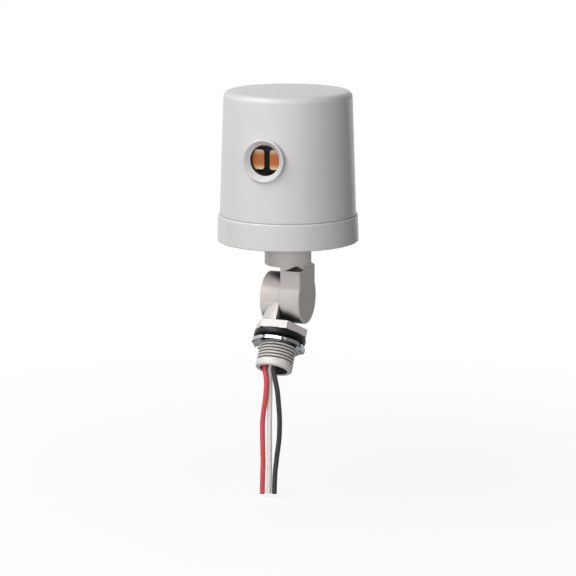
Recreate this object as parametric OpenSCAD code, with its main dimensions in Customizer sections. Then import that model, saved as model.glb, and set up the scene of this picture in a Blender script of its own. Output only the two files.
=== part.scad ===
// Photocell switch: a weatherproof housing with a light-sensing eye, on a swivel with a conduit stem.
// Lengths are in millimetres and angles in degrees. +Z is up, the eye looks towards -Y.
// The origin lies on the stem's axis, half way along its free thread.

/* [Housing] */
// Diameter of the skirt at its lower edge
skirt_d = 80; // [74:0.5:92]
// How much narrower the skirt is at its upper edge
skirt_draw = 1; // [0:0.1:2]
// Height of the skirt
skirt_h = 15; // [12:0.5:20]
// Thickness of the skirt wall at its upper edge
skirt_wall = 3; // [2.4:0.1:4]
// Thickness of the base's floor
floor_t = 3; // [2:0.1:4]
// Depth of the hollow under the floor
floor_recess = 2; // [1:0.1:3]
// Diameter of the seat for the collar under the floor
pad_d = 34; // [30:0.5:44]
// Height of the housing over the skirt's lower edge
housing_h = 86; // [80:0.5:100]
// Width of the ledge that the skirt shows round the cover
ledge_w = 1; // [0.5:0.1:1.6]
// Diameter of the cover at its top edge
cover_top_d = 72.5; // [68:0.5:76]
// Thickness of the cover wall
cover_wall = 2.2; // [1.6:0.1:2.6]
// Radius of the cover's top edge
cover_edge_r = 4; // [2.6:0.1:5]
// Rise of the crowned top
crown_h = 1.2; // [0.2:0.1:2]
// Depth that the cover reaches into the base
spigot_depth = 9; // [6:0.5:9.5]
// Depth of the groove for the cover's seal
seal_groove = 1; // [0.7:0.1:1.2]
// Chamfer on the skirt's edges
skirt_chamfer = 0.6; // [0.2:0.1:1]

/* [Eye] */
// Height of the eye over the skirt's lower edge
eye_z = 50; // [46:0.5:56]
// Diameter of the clear bezel
bezel_d = 24; // [22:0.2:26]
// How far the bezel stands out of the cover
bezel_proud = 2.4; // [1.5:0.1:4]
// Diameter of the clear view through the bezel
window_d = 17.5; // [14:0.1:18]
// Width of the bezel's flat rim round its funnel
bezel_rim = 1; // [0.6:0.1:1.6]
// How far the window lies behind the bezel's rim
window_sink = 3.2; // [2.4:0.1:3.6]
// Thickness of the window
window_t = 1.4; // [1:0.1:2]
// Wall of the lens's plug in the cover
plug_wall = 1.2; // [0.8:0.1:1.3]
// Wall of the cell holder's sleeve
sleeve_wall = 0.8; // [0.6:0.1:1]
// Gap between the window and the cell's face
cell_gap = 3; // [1:0.1:3.6]
// Thickness of the cell
cell_t = 2; // [1.5:0.1:2.4]
// Thickness of the cell holder's back
holder_t = 1.8; // [1.2:0.1:2.5]
// How far the cell holder's back reaches past its sleeve
holder_rim = 2.4; // [1.6:0.1:3]
// Wall of the socket that holds the cell holder
socket_wall = 1.8; // [1.2:0.1:2.4]
// Height of the amber fields on the cell
film_h = 11; // [8:0.2:12.4]
// Width of the dark bar between the amber fields
film_bar = 3.4; // [1.6:0.1:4]
// Thickness of the amber fields
film_t = 0.3; // [0.2:0.05:0.5]
// Distance between the cell's two wires
cell_wire_gap = 5; // [3:0.5:8]

/* [Swivel] */
// Diameter of the knuckle
knuckle_d = 29; // [27:0.2:32]
// Thickness of one half of the knuckle
half_t = 11.8; // [11:0.1:14]
// Rounding of the knuckle's outer edges
knuckle_edge = 0.9; // [0.4:0.1:1.4]
// Wall of the hollow knuckle
knuckle_wall = 2.5; // [2:0.1:3]
// Ring of full thickness at the knuckle's rim
rim_wall = 3.3; // [3:0.1:4]
// Width of the upper half's neck
neck_w = 25; // [22:0.2:26]
// Distance from the pivot to the shoulder of that neck
neck_l = 17.5; // [17:0.1:20]
// Distance from that shoulder to the collar's lower edge
shoulder_h = 1.8; // [1:0.1:2.4]
// Distance from the pivot to the hex flange
hex_drop = 18.6; // [17:0.1:21]
// Diameter of the collar
collar_d = 26.5; // [25:0.5:30]
// Height of the collar
collar_h = 13.2; // [11:0.2:18]
// Rounding of the collar's lower edge
collar_edge = 1; // [0.5:0.1:2]
// Thickness of the gasket between collar and base
collar_gasket_t = 0.8; // [0.5:0.1:1.5]
// Length of the collar's threaded end inside the base
collar_end_l = 14; // [11:0.5:16]
// Thickness of the wall that closes the collar and the stem at the knuckle
shelf_t = 2.2; // [1.8:0.1:2.4]
// Diameter of the pivot screw
pivot_d = 5; // [4:0.1:6]
// Diameter of the pivot screw's head
pivot_head_d = 8.4; // [7.6:0.1:9]
// Height of the pivot screw's head
pivot_head_h = 2.6; // [2:0.1:3]
// Thickness of the pivot washer
pivot_washer_t = 0.7; // [0.5:0.1:1]
// Diameter of the bosses round the pivot
boss_d = 9.2; // [8.6:0.1:10]
// Wall round the recess of the screw's head
recess_wall = 1.3; // [1:0.1:1.5]
// Thickness of the friction washer between the halves
friction_t = 1.1; // [0.8:0.1:1.4]
// Width of the friction washer
friction_w = 1.7; // [1:0.1:2]
// Lean of the stem from the housing's axis
tilt = 32; // [0:1:60]

/* [Stem] */
// Width of the hex flange across its flats
hex_af = 26.8; // [24.5:0.1:30]
// Thickness of the hex flange
hex_t = 4.5; // [4:0.1:6]
// Outer diameter of the conduit thread
thread_d = 20.8; // [20:0.1:22]
// Depth of the conduit thread
thread_depth = 0.9; // [0.6:0.05:1.1]
// Length of the thread below the locknut
thread_l = 13; // [10:0.1:22]
// Chamfer at the stem's end
stem_chamfer = 0.8; // [0.4:0.1:1.2]
// Bore of the stem and the collar
bore_d = 15.6; // [14:0.1:16]
// Diameter of the rubber gasket
gasket_d = 29.8; // [27:0.1:34]
// Thickness of the rubber gasket
gasket_t = 3.6; // [2:0.1:4.5]
// Diameter of a locknut over its lugs
locknut_d = 31; // [28:0.1:33]
// Height of a locknut with its bent lugs
locknut_t = 4; // [3.4:0.1:5]
// Thickness of a locknut's plate
plate_t = 2.2; // [1.6:0.1:3]
// Width of a locknut's ring inside the lugs
ring_w = 2.4; // [1.8:0.1:3]
// How much the lugs' tips are flattened
tip_flat = 0.8; // [0.2:0.1:1.2]
// Turn of the outer locknut on the stem
locknut_turn = 6; // [0:1:45]
// Width of the notches between the lugs
notch_w = 2.2; // [1.4:0.1:3]
// Depth of the notches between the lugs
notch_depth = 2.4; // [1:0.1:2.6]
// Number of lugs on a locknut
lugs = 8; // [6:1:10]

/* [Works] */
// Height of the board over the floor
board_z = 27; // [26:0.5:29]
// Diameter of the board
board_d = 62; // [58:0.5:66]
// Thickness of the board
board_t = 1.6; // [1:0.1:2]
// Distance of the board's posts from the axis
post_reach = 26; // [25:0.5:27]
// Diameter of the board's posts
post_d = 6.4; // [5.6:0.2:8]
// Diameter of the board's screws
screw_d = 3; // [2.5:0.1:3.5]
// Length of the board's screws under the head
screw_l = 9; // [6:0.5:14]
// Thickness of the contact arms and their posts
strip_t = 0.8; // [0.5:0.1:1.2]
// Width of the contact arms and their posts
strip_w = 6; // [5:0.5:8]
// Length of the bimetal blade
blade_l = 31; // [28:0.5:34]
// Height of the bimetal blade over the board
blade_z = 16; // [14:0.5:20]
// Diameter of the contacts
contact_d = 3.6; // [3:0.1:4.6]
// Height of each contact
contact_h = 1; // [0.6:0.1:1.5]
// Diameter of the heater
heater_d = 5.2; // [4:0.1:6]
// Length of the heater
heater_l = 12; // [10:0.5:13]
// Diameter of the surge arrester
arrester_d = 14; // [10:0.5:16]
// Thickness of the surge arrester
arrester_t = 4.5; // [3:0.1:6]
// Diameter of the terminals' barrels
barrel_d = 4; // [3.6:0.1:5]
// Length of the terminals' barrels
barrel_l = 5; // [4:0.1:6]
// Diameter of the bare wires on the board
wire_d = 0.8; // [0.5:0.1:1]

/* [Leads] */
// Diameter of the insulated leads
lead_d = 2.9; // [2.4:0.05:3]
// Distance from the pivot at which the leads cross the knuckle's seam
cross_reach = 7.8; // [7.4:0.1:8]

/* [Fits] */
// Play between pieces that are pushed together
push_play = 0.1; // [0.05:0.01:0.2]
// Play of the pivot screw in the lower half
pivot_play = 0.05; // [0.03:0.01:0.1]
// Gap between faces that turn on each other
face_gap = 0.05; // [0.03:0.01:0.1]
// Gap between the halves of the knuckle
seam = 0.3; // [0.2:0.05:0.5]

/* [Hidden] */
$fn = 72;
eps = 0.01;
skirt_r = skirt_d / 2;
skirt_top_r = skirt_r - skirt_draw / 2;
cup_r = skirt_top_r - skirt_wall;
floor_top = floor_recess + floor_t;
spigot_r = cup_r - push_play;
spigot_in_r = spigot_r - cover_wall;
shoulder_r = skirt_top_r - ledge_w;
cover_top_r = cover_top_d / 2;
cover_side_top = housing_h - crown_h - cover_edge_r;
seal_z = skirt_h - spigot_depth / 2;
seal_d = seal_groove + push_play - 2 * face_gap;

// Places along the eye's axis, as distances from the housing's axis
eye_wall_r = cover_r(eye_z);
bezel_front = eye_wall_r + bezel_proud;
window_back = bezel_front - window_sink - window_t;
cell_front = window_back - cell_gap;
cell_back = cell_front - cell_t;
sleeve_r = window_d / 2 + sleeve_wall;
plug_in_r = sleeve_r + push_play;
plug_r = plug_in_r + plug_wall;
holder_r = sleeve_r + holder_rim;
socket_in_r = holder_r + push_play;
socket_r = socket_in_r + socket_wall;
holder_front = min(cell_back, sqrt(pow(eye_wall_r - cover_wall - push_play, 2) - pow(socket_in_r, 2)));
holder_back = holder_front - holder_t;
plug_back = holder_front + push_play;

// Places in the swivel, as distances from the pivot's axis or from the seam
knuckle_r = knuckle_d / 2;
cavity_r = knuckle_r - rim_wall;
cavity_x = half_t - knuckle_wall;
passage_x = knuckle_wall + seam / 2;
passage_r = half_t - shelf_t;
recess_r = pivot_head_d / 2 + 2 * push_play;
recess_floor = half_t - pivot_head_h - pivot_washer_t - face_gap - seam;
friction_r = knuckle_r - (rim_wall - friction_w) / 2;
pivot_end = cavity_x - seam;
bore_r = bore_d / 2;
thread_r = thread_d / 2;
root_r = thread_r - thread_depth;
collar_bottom = neck_l + shoulder_h;
collar_top = collar_bottom + collar_h;
skirt_z = collar_top + collar_gasket_t;
hex_bottom = hex_drop + hex_t;
gasket_bottom = hex_bottom + gasket_t;
thread_top = gasket_bottom + locknut_t + seam;
stem_end = thread_top + thread_l;
mount_drop = stem_end - thread_l / 2;

// Places on the board, as heights over the skirt's lower edge and as plan positions
board_bottom = floor_top + board_z;
board_top = board_bottom + board_t;
post_turns = [90, 210, 330];
blade_bottom = board_top + blade_z;
blade_y = 9;
blade_root = -17;
contact_x = blade_root + blade_l - strip_w / 2;
heater_x = blade_root + blade_l / 2 - strip_w / 2;
heater_z = blade_bottom - heater_d;
heater_reach = heater_l / 2 + 2 * wire_d;
arrester_at = [10, -11];
arrester_z = board_top + arrester_d / 2 + 2;
arrester_pins = 7.5;
terminal_at = [[0, -13], [11, 4], [-11, 4]];

// The leads cross the knuckle's seam at these turns about the pivot, from up towards the back
red_cross = seam_point(-74, cross_reach - lead_d / 10);
white_cross = seam_point(79, cross_reach);
black_cross = seam_point(133, cross_reach);

// Routes of the leads inside the head, from the seam to the terminals, measured from the pivot
red_inside = [
    [2.4, red_cross[1], red_cross[2]], [5, -6.4, 5.5], [5.2, -5, 10], [5, -4.6, 14], [4.6, -4.1, 21],
    [1.8, -4.2, 30], [0, -4.4, 42], [0, -7, 49], [0, -11.4, 54], [0, -13, 57.5]
];
white_inside = [
    [2, white_cross[1], white_cross[2]], [3.2, 4.6, 6], [4.4, 1.8, 10], [5, 1.2, 14], [4.6, 0.8, 20],
    [3.8, 1.6, 30], [4.2, 2.2, 43], [6.6, 3, 50], [10, 3.8, 54.5], [11, 4, 57.5]
];
black_inside = [
    [2.4, black_cross[1], black_cross[2]], [6.2, 7.2, -1], [6.4, 6.6, 4.5], [5.4, 5.2, 9.5], [5, 5, 14],
    [4.5, 4.2, 21.2], [0.4, 4.8, 30], [-3.6, 3, 43], [-6.6, 3.2, 49.5], [-10, 3.8, 54.5], [-11, 4, 57.5]
];

// Routes of the leads in the lower half and the stem, measured from the pivot along the stem
red_stem = [
    [-2.4, -7.2, -2.1], [-5, -6.4, -5.5], [-5.2, -5, -10], [-5, -4.6, -14], [-4.6, -4, -20],
    [-5.4, -2.4, -27], [-6, -1, -33], [-6, -1, -37.8]
];
white_stem = [
    [-2.4, 5.7, 5.3], [-5.2, 7.4, 1], [-5.8, 6.8, -4.5], [-5.4, 5.2, -9.5], [-5, 5, -14], [-4.4, 4.4, -20],
    [-3.4, 3, -27], [-2.9, 1.4, -34], [-2.9, 1.4, -37.8]
];
black_stem = [
    [-2, 7.7, -1.5], [-3.2, 4.6, -6], [-4.4, 1.8, -10], [-5, 1.2, -14], [-4.6, 0.8, -20], [-1.4, 0, -27],
    [0, -0.6, -34], [0, -0.6, -37.8]
];

// Routes of the free leads from inside the stem's mouth to their cut ends, from the origin
red_free = [
    [-6, -1.1, 0.1], [-5.6, -2.9, -2.8], [-4.9, -4.4, -5.6], [-3.8, -5.5, -8.8], [-3.3, -6, -12.8],
    [-3.5, -6.1, -18], [-4.1, -6.1, -23.3], [-5, -6, -29.2], [-5.6, -6, -35.3], [-5.7, -6, -41.4],
    [-5.6, -6, -47.3], [-5.5, -6, -53.4], [-5.4, -6, -59.5], [-5.6, -6, -66], [-5.8, -6, -72],
    [-5.9, -6, -77.5]
];
white_free = [
    [-2.9, 0.9, -1.2], [-2.8, -0.8, -3.9], [-2.7, -1.9, -6.4], [-2.6, -2.3, -9], [-2.5, -2.6, -13],
    [-2.4, -2.8, -18], [-2.4, -3.1, -23.3], [-2.3, -3.6, -29.2], [-2.2, -4, -35.3], [-2.1, -4.3, -41.4],
    [-2.1, -4.4, -47.3], [-2.1, -4.4, -53.4], [-2.1, -4.4, -59.5], [-2.2, -4.4, -66], [-2.4, -4.4, -72],
    [-2.5, -4.4, -77.3]
];
black_free = [
    [0, -0.8, -0.1], [0.1, -2.5, -2.8], [0.4, -4, -5.6], [1, -4.6, -8.4], [1.6, -4.8, -11],
    [2.3, -4.8, -14.4], [2.9, -4.8, -17.8], [3.6, -4.8, -25.2], [4, -4.8, -30], [4.2, -4.8, -34.8],
    [4.1, -4.8, -40], [3.9, -4.8, -44.4], [3.3, -4.8, -49.4], [2.6, -4.8, -54.4], [2.1, -4.8, -59],
    [1.5, -4.8, -64], [1.1, -4.8, -70.5], [0.9, -4.8, -77.1]
];

housing_grey = "#CFCFCC";
casting_grey = "#B7B3AE";
steel = "#C9CACB";
copper = "#B8734A";

// Radius of the cover's outside at a height over the skirt's lower edge
function cover_r(z) =
    shoulder_r + (cover_top_r - shoulder_r) * (z - skirt_h) / (cover_side_top - skirt_h);

// A point in the knuckle's seam, at a turn about the pivot and a distance from it
function seam_point(turn, reach) = [0, reach * sin(turn), reach * cos(turn)];

function unit(v) = v / norm(v);

// Direction of a route at one of its points
function heading(route, i) =
    i == 0 ? unit(route[1] - route[0])
    : i == len(route) - 1 ? unit(route[i] - route[i - 1])
    : unit(unit(route[i + 1] - route[i]) + unit(route[i] - route[i - 1]));

// Ring of points round one point of a route
function ring(route, i, r, sides) =
    let (t = heading(route, i), u = unit(cross([0, 1, 0], t)), v = cross(t, u))
    [for (k = [0 : sides - 1]) route[i] + r * (u * cos(360 * k / sides) + v * sin(360 * k / sides))];

// Faces of a tube with so many rings
function tube_faces(rings, sides) = concat(
    [[for (k = [0 : sides - 1]) k]],
    [for (i = [0 : rings - 2], k = [0 : sides - 1])
        let (a = i * sides + k, b = i * sides + (k + 1) % sides) [a, a + sides, b + sides, b]],
    [[for (k = [sides - 1 : -1 : 0]) (rings - 1) * sides + k]]
);

// A round lead along a route
module lead(route, sides = 8) {
    points = [for (i = [0 : len(route) - 1]) each ring(route, i, lead_d / 2, sides)];
    polyhedron(points, tube_faces(len(route), sides));
}

// Places children measured from the pivot, with the head upright
module head_frame() {
    translate([0, mount_drop * sin(tilt), mount_drop * cos(tilt)]) children();
}

// Places children measured from the pivot, with the stem along -Z
module stem_frame() {
    head_frame() rotate([-tilt, 0, 0]) children();
}

// Places children measured from the middle of the skirt's lower edge
module housing_frame() {
    head_frame() translate([0, 0, skirt_z]) children();
}

// Places children on the eye's axis, where +Z leads out of the housing
module eye_frame() {
    housing_frame() translate([0, 0, eye_z]) rotate([90, 0, 0]) children();
}

// A disc from one distance along Z to another
module disc(r, from, to) {
    translate([0, 0, from]) cylinder(r = r, h = to - from);
}

// A disc on the pivot's axis, from one X to another
module pivot_disc(r, from, to) {
    rotate([0, 90, 0]) disc(r, from, to);
}

// Outline of the space that the cover encloses, grown by a margin
module cover_outline(margin = 0, bottom = skirt_h) {
    corner_r = cover_top_r - cover_edge_r;
    steps = 8;
    polygon(concat(
        [[0, bottom], [cover_r(bottom) + margin, bottom]],
        [for (i = [0 : steps])
            [corner_r + (cover_edge_r + margin) * cos(90 * i / steps),
             cover_side_top + (cover_edge_r + margin) * sin(90 * i / steps)]],
        [for (i = [1 : steps])
            let (share = 1 - i / steps)
            [corner_r * share, housing_h + margin - crown_h * share * share]]
    ));
}

// Half section of the cover with its spigot and seal groove
module cover_section() {
    spigot_foot = skirt_h - spigot_depth;
    blend_z = skirt_h + 2 * cover_wall;
    difference() {
        union() {
            cover_outline();
            translate([spigot_in_r, spigot_foot]) square([cover_wall, spigot_depth + eps]);
        }
        difference() {
            cover_outline(-cover_wall, blend_z);
            translate([0, blend_z]) square([eps, eps]);
        }
        polygon([[-eps, spigot_foot - eps], [spigot_in_r, spigot_foot - eps],
            [spigot_in_r, skirt_h + cover_wall], [cover_r(blend_z) - cover_wall, blend_z + eps],
            [-eps, blend_z + eps]]);
        translate([spigot_r - seal_groove, seal_z - seal_groove]) square(2 * seal_groove);
    }
}

module cover() {
    color(housing_grey) {
        difference() {
            union() {
                housing_frame() rotate_extrude() cover_section();
                intersection() {
                    eye_frame() disc(socket_r, holder_back, bezel_front);
                    housing_frame() rotate_extrude() cover_outline();
                }
            }
            eye_frame() disc(plug_r + push_play, 0, bezel_front + eps);
            eye_frame() disc(socket_in_r, 0, holder_front + push_play);
        }
    }
}

// Half section of the base cup
module base_section() {
    difference() {
        polygon([[0, 0], [skirt_r - skirt_chamfer, 0], [skirt_r, skirt_chamfer],
            [skirt_top_r, skirt_h - skirt_chamfer], [skirt_top_r - skirt_chamfer, skirt_h], [0, skirt_h]]);
        translate([0, floor_top]) square([cup_r, skirt_h]);
        translate([pad_d / 2, -eps]) square([cup_r - pad_d / 2, floor_recess + eps]);
    }
}

// Places children at each of the board's posts
module at_posts() {
    for (turn = post_turns) rotate(turn) translate([post_reach, 0, 0]) children();
}

module base() {
    color(housing_grey) {
        housing_frame() difference() {
            union() {
                rotate_extrude() base_section();
                at_posts() disc(post_d / 2, floor_top - eps, board_bottom);
            }
            disc(thread_r + push_play, -eps, floor_top + eps);
            at_posts() disc(screw_d / 2, board_top - screw_l - push_play, board_bottom + eps);
        }
    }
}

module cover_seal() {
    color("#2B2B2B") {
        housing_frame() rotate_extrude() {
            translate([spigot_r - seal_groove + face_gap + seal_d / 2, seal_z])
                circle(d = seal_d, $fn = 24);
        }
    }
}

module eye_lens() {
    color("#E8EDEE") {
        difference() {
            union() {
                difference() {
                    eye_frame() disc(bezel_d / 2, holder_front, bezel_front);
                    housing_frame() rotate_extrude() cover_outline(face_gap);
                }
                eye_frame() disc(plug_r, plug_back, bezel_front);
            }
            eye_frame() translate([0, 0, bezel_front - window_sink])
                cylinder(r1 = window_d / 2, r2 = bezel_d / 2 - bezel_rim, h = window_sink + eps);
            eye_frame() disc(plug_in_r, 0, window_back);
        }
    }
}

module cell_holder() {
    color("#1E1E1E") {
        eye_frame() difference() {
            union() {
                disc(sleeve_r, holder_front - eps, window_back - push_play);
                disc(holder_r, holder_back, holder_front);
            }
            disc(window_d / 2, cell_back - push_play, window_back);
            at_cell_wires() disc(wire_d / 2 + push_play, 0, window_back);
        }
    }
}

module photocell() {
    color("#262324") {
        eye_frame() disc(window_d / 2 - push_play, cell_back, cell_front);
    }
}

module photocell_film() {
    field_r = window_d / 2 - 6 * push_play;
    color("#B9763A") {
        eye_frame() intersection() {
            disc(field_r, cell_front, cell_front + film_t);
            for (side = [-1, 1]) {
                translate([side * (film_bar + field_r) / 2, 0, cell_front + film_t / 2])
                    cube([field_r, film_h, film_t], center = true);
            }
        }
    }
}

// Places children at each of the cell's two wires
module at_cell_wires() {
    for (side = [-1, 1]) translate([side * cell_wire_gap / 2, 0, 0]) children();
}

module cell_leads() {
    bend_r = 3 * wire_d;
    down = holder_back - bend_r - wire_d;
    color(copper) {
        eye_frame() at_cell_wires() {
            disc(wire_d / 2, down + bend_r - eps, cell_back);
            translate([0, -bend_r, down + bend_r]) rotate([0, 90, 0]) rotate_extrude(angle = 90)
                translate([bend_r, 0]) circle(d = wire_d, $fn = 16);
            translate([0, -bend_r, down]) rotate([90, 0, 0])
                disc(wire_d / 2, -eps, eye_z - board_top - bend_r);
        }
    }
}

module board() {
    color("#8A6A3C") {
        housing_frame() difference() {
            disc(board_d / 2, board_bottom, board_top);
            at_posts() disc(screw_d / 2 + push_play, board_bottom - eps, board_top + eps);
            at_terminals() disc(barrel_d / 4 + push_play, board_bottom - eps, board_top + eps);
        }
    }
}

module board_screws() {
    head_r = screw_d;
    head_h = 0.7 * screw_d;
    slot_w = screw_d / 4;
    color(steel) {
        housing_frame() at_posts() difference() {
            union() {
                disc(screw_d / 2 - face_gap, board_top - screw_l, board_top + eps);
                disc(head_r, board_top, board_top + head_h);
            }
            translate([-head_r, -slot_w / 2, board_top + head_h / 2]) cube([2 * head_r, slot_w, head_h]);
        }
    }
}

// Places children at each of the three terminals
module at_terminals() {
    for (at = terminal_at) translate([at[0], at[1], 0]) children();
}

module terminals() {
    tab = [barrel_d, strip_t, barrel_l];
    color("#C8B26A") {
        housing_frame() at_terminals() {
            disc(barrel_d / 2, board_bottom - barrel_l, board_bottom);
            disc(barrel_d / 4, board_bottom - eps, board_top + eps);
            translate([-tab[0] / 2, -tab[1] / 2, board_top]) cube(tab);
        }
    }
}

// A bent strip: a foot on the board, an upright at X = 0, and a seat of given height and reach
module post_strip(height, seat) {
    translate([0, -strip_w / 2, 0]) {
        translate([-strip_w, 0, 0]) cube([strip_w + strip_t, strip_w, strip_t]);
        cube([strip_t, strip_w, height]);
        translate([0, 0, height - strip_t]) cube([seat, strip_w, strip_t]);
    }
}

module blade_post() {
    color("#C8B26A") {
        housing_frame() translate([blade_root, blade_y, board_top]) {
            post_strip(blade_z - face_gap, strip_w);
        }
    }
}

module bimetal_blade() {
    color("#A9A39A") {
        housing_frame() translate([blade_root, blade_y - strip_w / 2, blade_bottom]) {
            cube([blade_l, strip_w, strip_t]);
        }
    }
}

module moving_contact() {
    color("#D9D9D6") {
        housing_frame() translate([contact_x, blade_y, 0]) {
            disc(contact_d / 2, blade_bottom - contact_h, blade_bottom);
        }
    }
}

module contact_post() {
    seat_top = blade_z - 2 * contact_h - face_gap;
    color("#C8B26A") {
        housing_frame() translate([contact_x + strip_w / 2, blade_y, board_top]) mirror([1, 0, 0]) {
            post_strip(seat_top, strip_w);
        }
    }
}

module fixed_contact() {
    top = blade_bottom - contact_h - face_gap;
    color("#D9D9D6") {
        housing_frame() translate([contact_x, blade_y, 0]) {
            disc(contact_d / 2, top - contact_h, top);
        }
    }
}

module heater() {
    color("#5F7F8C") {
        housing_frame() translate([heater_x, blade_y, heater_z]) {
            rotate([0, 90, 0]) disc(heater_d / 2, -heater_l / 2, heater_l / 2);
            rotate([0, 90, 0]) disc(wire_d / 2, -heater_reach, heater_reach);
            for (side = [-1, 1]) {
                translate([side * heater_reach, 0, 0]) {
                    sphere(d = wire_d, $fn = 24);
                    disc(wire_d / 2, board_top - heater_z, 0);
                }
            }
        }
    }
}

module surge_arrester() {
    color("#2F5D8A") {
        housing_frame() translate([arrester_at[0], arrester_at[1], 0]) {
            translate([0, arrester_t / 2, arrester_z]) rotate([90, 0, 0])
                disc(arrester_d / 2, 0, arrester_t);
            for (side = [-1, 1]) {
                translate([side * arrester_pins / 2, 0, 0]) disc(wire_d / 2, board_top, arrester_z);
            }
        }
    }
}

// Disc of a half knuckle on the +X side, with a rounded outer edge
module half_disc() {
    flat_t = half_t - knuckle_edge;
    rotate([0, 90, 0]) rotate_extrude() {
        translate([0, seam / 2]) square([knuckle_r, flat_t - seam / 2]);
        translate([0, seam / 2]) square([knuckle_r - knuckle_edge, half_t - seam / 2]);
        translate([knuckle_r - knuckle_edge, flat_t]) circle(knuckle_edge, $fn = 32);
    }
}

// Flat neck on the +X side, with rounded outer edges
module flat_neck(length) {
    flat_t = half_t - knuckle_edge;
    linear_extrude(length) {
        translate([seam / 2, -neck_w / 2]) square([flat_t - seam / 2, neck_w]);
        translate([seam / 2, knuckle_edge - neck_w / 2])
            square([half_t - seam / 2, neck_w - 2 * knuckle_edge]);
        for (side = [-1, 1]) {
            translate([flat_t, side * (neck_w / 2 - knuckle_edge)]) circle(knuckle_edge, $fn = 32);
        }
    }
}

// Half-round neck on the +X side
module round_neck(length) {
    linear_extrude(length) intersection() {
        circle(half_t);
        translate([seam / 2, -half_t]) square([half_t, 2 * half_t]);
    }
}

// Space under a shoulder that slopes at 45 degrees to the flat neck's three outer sides
module shoulder_space(top) {
    rise = top - neck_l;
    half_w = neck_w / 2;
    intersection() {
        rotate([90, 0, 0]) linear_extrude(2 * neck_w, center = true)
            polygon([[0, 0], [half_t, 0], [half_t, neck_l], [half_t - rise, top], [0, top]]);
        rotate([90, 0, 90]) linear_extrude(2 * half_t, center = true)
            polygon([[-half_w, 0], [half_w, 0], [half_w, neck_l], [half_w - rise, top],
                [rise - half_w, top], [-half_w, neck_l]]);
    }
}

// Upper neck: its shoulder slopes up to the collar, whose round goes on down to the shoulder
module upper_neck() {
    top = collar_bottom + shoulder_h;
    intersection() {
        flat_neck(top);
        union() {
            shoulder_space(top);
            disc(collar_d / 2, 0, top);
        }
    }
}

// Hollow of a half knuckle, with the passage for the leads that reaches so far along its neck
module half_hollow(reach) {
    pivot_disc(cavity_r, -seam, cavity_x);
    intersection() {
        translate([passage_x, -bore_r, 0]) cube([bore_r - passage_x, bore_d, reach]);
        disc(passage_r, 0, reach);
    }
}

// Collar with a rounded lower edge
module collar_form() {
    flat_r = collar_d / 2 - collar_edge;
    rotate_extrude() {
        translate([0, collar_bottom]) square([flat_r, collar_h]);
        translate([0, collar_bottom + collar_edge]) square([collar_d / 2, collar_h - collar_edge]);
        translate([flat_r, collar_bottom + collar_edge]) circle(collar_edge, $fn = 32);
    }
}

module upper_swivel() {
    shelf_top = collar_bottom + shelf_t;
    color(casting_grey) {
        head_frame() difference() {
            union() {
                difference() {
                    union() {
                        half_disc();
                        upper_neck();
                        collar_form();
                    }
                    half_hollow(shelf_top + eps);
                }
                pivot_disc(boss_d / 2, seam / 2, cavity_x + eps);
                disc(root_r, collar_top - eps, collar_top + collar_end_l);
            }
            disc(bore_r, shelf_top, collar_top + collar_end_l + eps);
            pivot_disc(pivot_d / 2, -seam, pivot_end + seam);
        }
    }
}

module collar_gasket() {
    color("#2B2B2B") {
        head_frame() difference() {
            disc(collar_d / 2 - push_play, collar_top, skirt_z);
            disc(root_r + push_play, collar_bottom, skirt_z + eps);
        }
    }
}

// Conduit locknut: a ring whose notched lugs are bent down to Z = 0
module locknut_form() {
    ring_in_r = root_r + push_play;
    ring_r = ring_in_r + ring_w;
    tip_r = locknut_d / 2;
    under = locknut_t - plate_t;
    difference() {
        intersection() {
            rotate_extrude() polygon([[ring_in_r, under], [ring_r - plate_t / 3, under], [tip_r, 0],
                [tip_r, plate_t], [ring_r, locknut_t], [ring_in_r, locknut_t]]);
            cylinder(r = (tip_r - tip_flat) / cos(180 / lugs), h = locknut_t, $fn = lugs);
        }
        for (i = [0 : lugs - 1]) {
            rotate((i + 0.5) * 360 / lugs) translate([tip_r - tip_flat - notch_depth, -notch_w / 2, -eps])
                cube([2 * notch_depth, notch_w, locknut_t + 2 * eps]);
        }
    }
}

module base_locknut() {
    color(steel) {
        housing_frame() translate([0, 0, floor_top]) locknut_form();
    }
}

module pivot_screw() {
    head_in = recess_floor + face_gap + pivot_washer_t;
    slot_w = pivot_d / 4;
    color(steel) {
        head_frame() difference() {
            union() {
                pivot_disc(pivot_d / 2 - pivot_play, -head_in - eps, pivot_end);
                pivot_disc(pivot_head_d / 2, -head_in - pivot_head_h, -head_in);
            }
            translate([-head_in - 1.5 * pivot_head_h, -pivot_head_d, -slot_w / 2])
                cube([pivot_head_h, 2 * pivot_head_d, slot_w]);
        }
    }
}

module pivot_washer() {
    seat_x = -recess_floor - face_gap;
    color(steel) {
        head_frame() difference() {
            pivot_disc(pivot_head_d / 2, seat_x - pivot_washer_t, seat_x);
            pivot_disc(pivot_d / 2, seat_x - pivot_washer_t - eps, seat_x + eps);
        }
    }
}

module swivel_washer() {
    inner_r = friction_r - friction_w;
    color("#6E5B45") {
        stem_frame() difference() {
            pivot_disc(friction_r, -seam / 2 - friction_t + seam, seam / 2 - face_gap);
            pivot_disc(inner_r, -half_t, half_t);
        }
    }
}

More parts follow.
